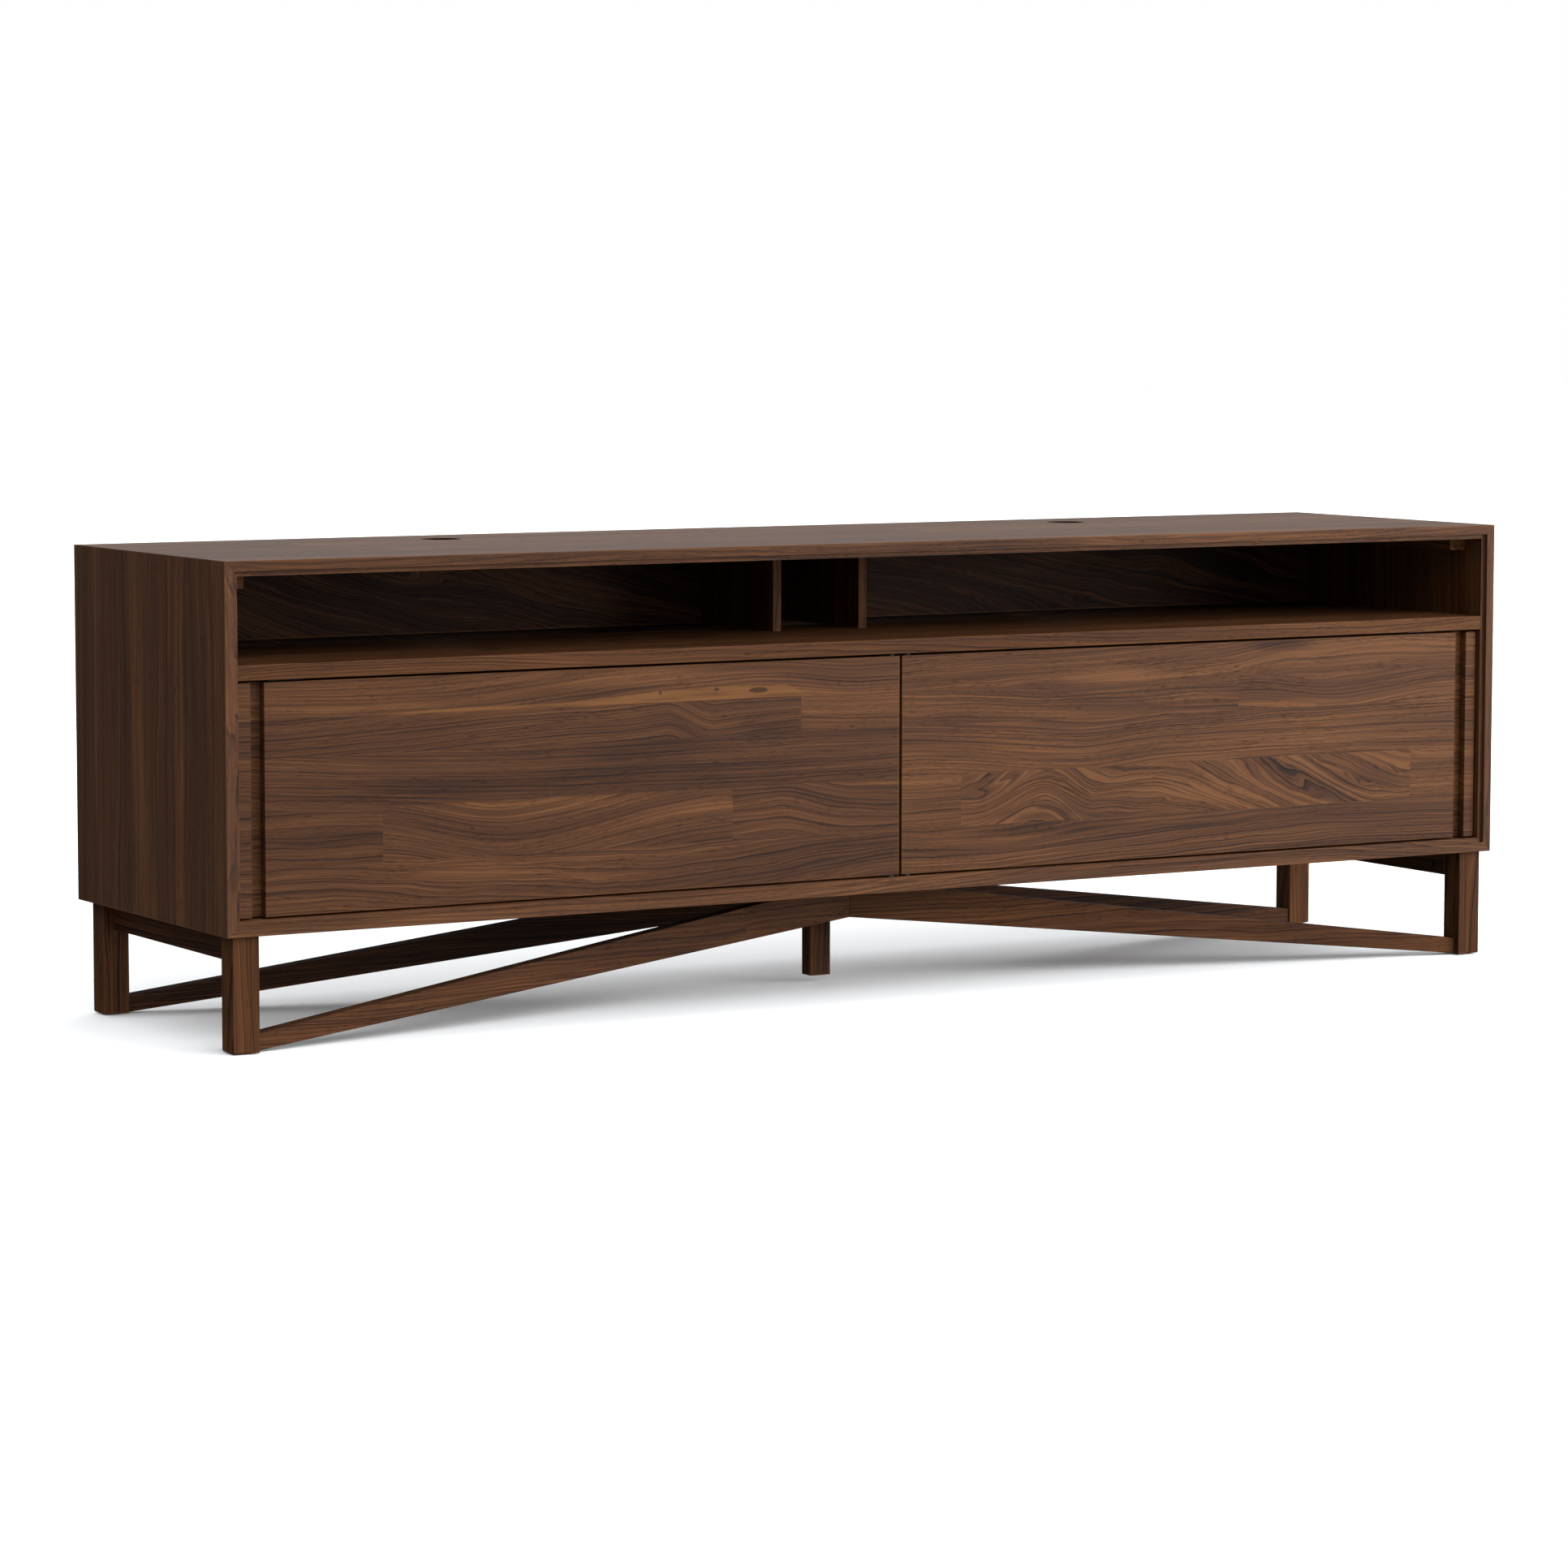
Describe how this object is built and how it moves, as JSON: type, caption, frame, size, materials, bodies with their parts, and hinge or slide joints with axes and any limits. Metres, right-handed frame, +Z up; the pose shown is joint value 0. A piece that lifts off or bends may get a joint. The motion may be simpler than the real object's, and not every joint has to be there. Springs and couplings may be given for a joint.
{
  "type": "media cabinet",
  "caption": "Low walnut media cabinet: mitred case with an open bay over doors that swing from the middle, finger-grooved outer edges, on a trestle base with sloping stretchers.",
  "frame": {"origin": "on the floor, under the middle of the case's footprint", "axes": "+Z up, the doors face -Y, +X to the right as seen from the front"},
  "size_m": [1.83, 0.44, 0.571],
  "materials": {
    "walnut_case": "oiled walnut, satin",
    "walnut_door": "oiled walnut staves, satin",
    "walnut_base": "oiled walnut, satin",
    "walnut_inside": "oiled walnut, matt",
    "back_ply": "walnut-faced plywood",
    "hinge_bronze": "dark oil-rubbed bronze",
    "steel": "black-oxide steel",
    "magnet_steel": "nickel-plated magnet",
    "catch_plastic": "dark brown moulded plastic",
    "glide_nylon": "brown felt-faced nylon"
  },
  "bodies": {
    "case": {"top_panel": "walnut_case", "bottom_panel": "walnut_case", "left_side_panel": "walnut_case", "right_side_panel": "walnut_case", "fixed_shelf": "walnut_case", "inner_back_panel": "walnut_inside", "outer_back_panel": "back_ply", "bay_divider_left": "walnut_inside", "bay_divider_right": "walnut_inside", "top_cleat_left": "walnut_inside", "top_cleat_right": "walnut_inside", "adjustable_shelf_left": "walnut_inside", "adjustable_shelf_right": "walnut_inside", "centre_partition": "walnut_inside", "shelf_pins": "steel", "back_panel_screws": "steel", "hinge_washers": "hinge_bronze", "case_hinge_screws": "hinge_bronze", "catch_magnets": "magnet_steel", "catch_screws": "steel", "centre_block": "walnut_base", "centre_leg": "walnut_base", "base_bolts": "steel", "barrel_nuts": "steel", "left_top_hinge_case_leaf": "hinge_bronze", "left_bottom_hinge_case_leaf": "hinge_bronze", "left_catch_body": "catch_plastic", "left_side_rail": "walnut_base", "front_left_leg_outer_post": "walnut_base", "front_left_leg_inner_post": "walnut_base", "front_left_brace": "walnut_base", "front_left_glide": "glide_nylon", "rear_left_leg_outer_post": "walnut_base", "rear_left_leg_inner_post": "walnut_base", "rear_left_brace": "walnut_base", "rear_left_glide": "glide_nylon", "right_top_hinge_case_leaf": "hinge_bronze", "right_bottom_hinge_case_leaf": "hinge_bronze", "right_catch_body": "catch_plastic", "right_side_rail": "walnut_base", "front_right_leg_outer_post": "walnut_base", "front_right_leg_inner_post": "walnut_base", "front_right_brace": "walnut_base", "front_right_glide": "glide_nylon", "rear_right_leg_outer_post": "walnut_base", "rear_right_leg_inner_post": "walnut_base", "rear_right_brace": "walnut_base", "rear_right_glide": "glide_nylon"},
    "left_door": {"left_door_panel": "walnut_door", "left_door_top_hinge_leaf": "hinge_bronze", "left_door_bottom_hinge_leaf": "hinge_bronze", "left_door_hinge_screws": "hinge_bronze", "left_door_strike_plate": "steel", "left_door_strike_screws": "steel"},
    "right_door": {"right_door_panel": "walnut_door", "right_door_top_hinge_leaf": "hinge_bronze", "right_door_bottom_hinge_leaf": "hinge_bronze", "right_door_hinge_screws": "hinge_bronze", "right_door_strike_plate": "steel", "right_door_strike_screws": "steel"}
  },
  "joints": [
    {"name": "left_door_hinge", "type": "hinge", "parent": "case", "child": "left_door", "pos_m": [-0.01175, -0.2035, 0.294], "axis": [0, 0, 1], "range_deg": [0, 90]},
    {"name": "right_door_hinge", "type": "hinge", "parent": "case", "child": "right_door", "pos_m": [0.01175, -0.2035, 0.294], "axis": [0, 0, -1], "range_deg": [0, 90]}
  ]
}
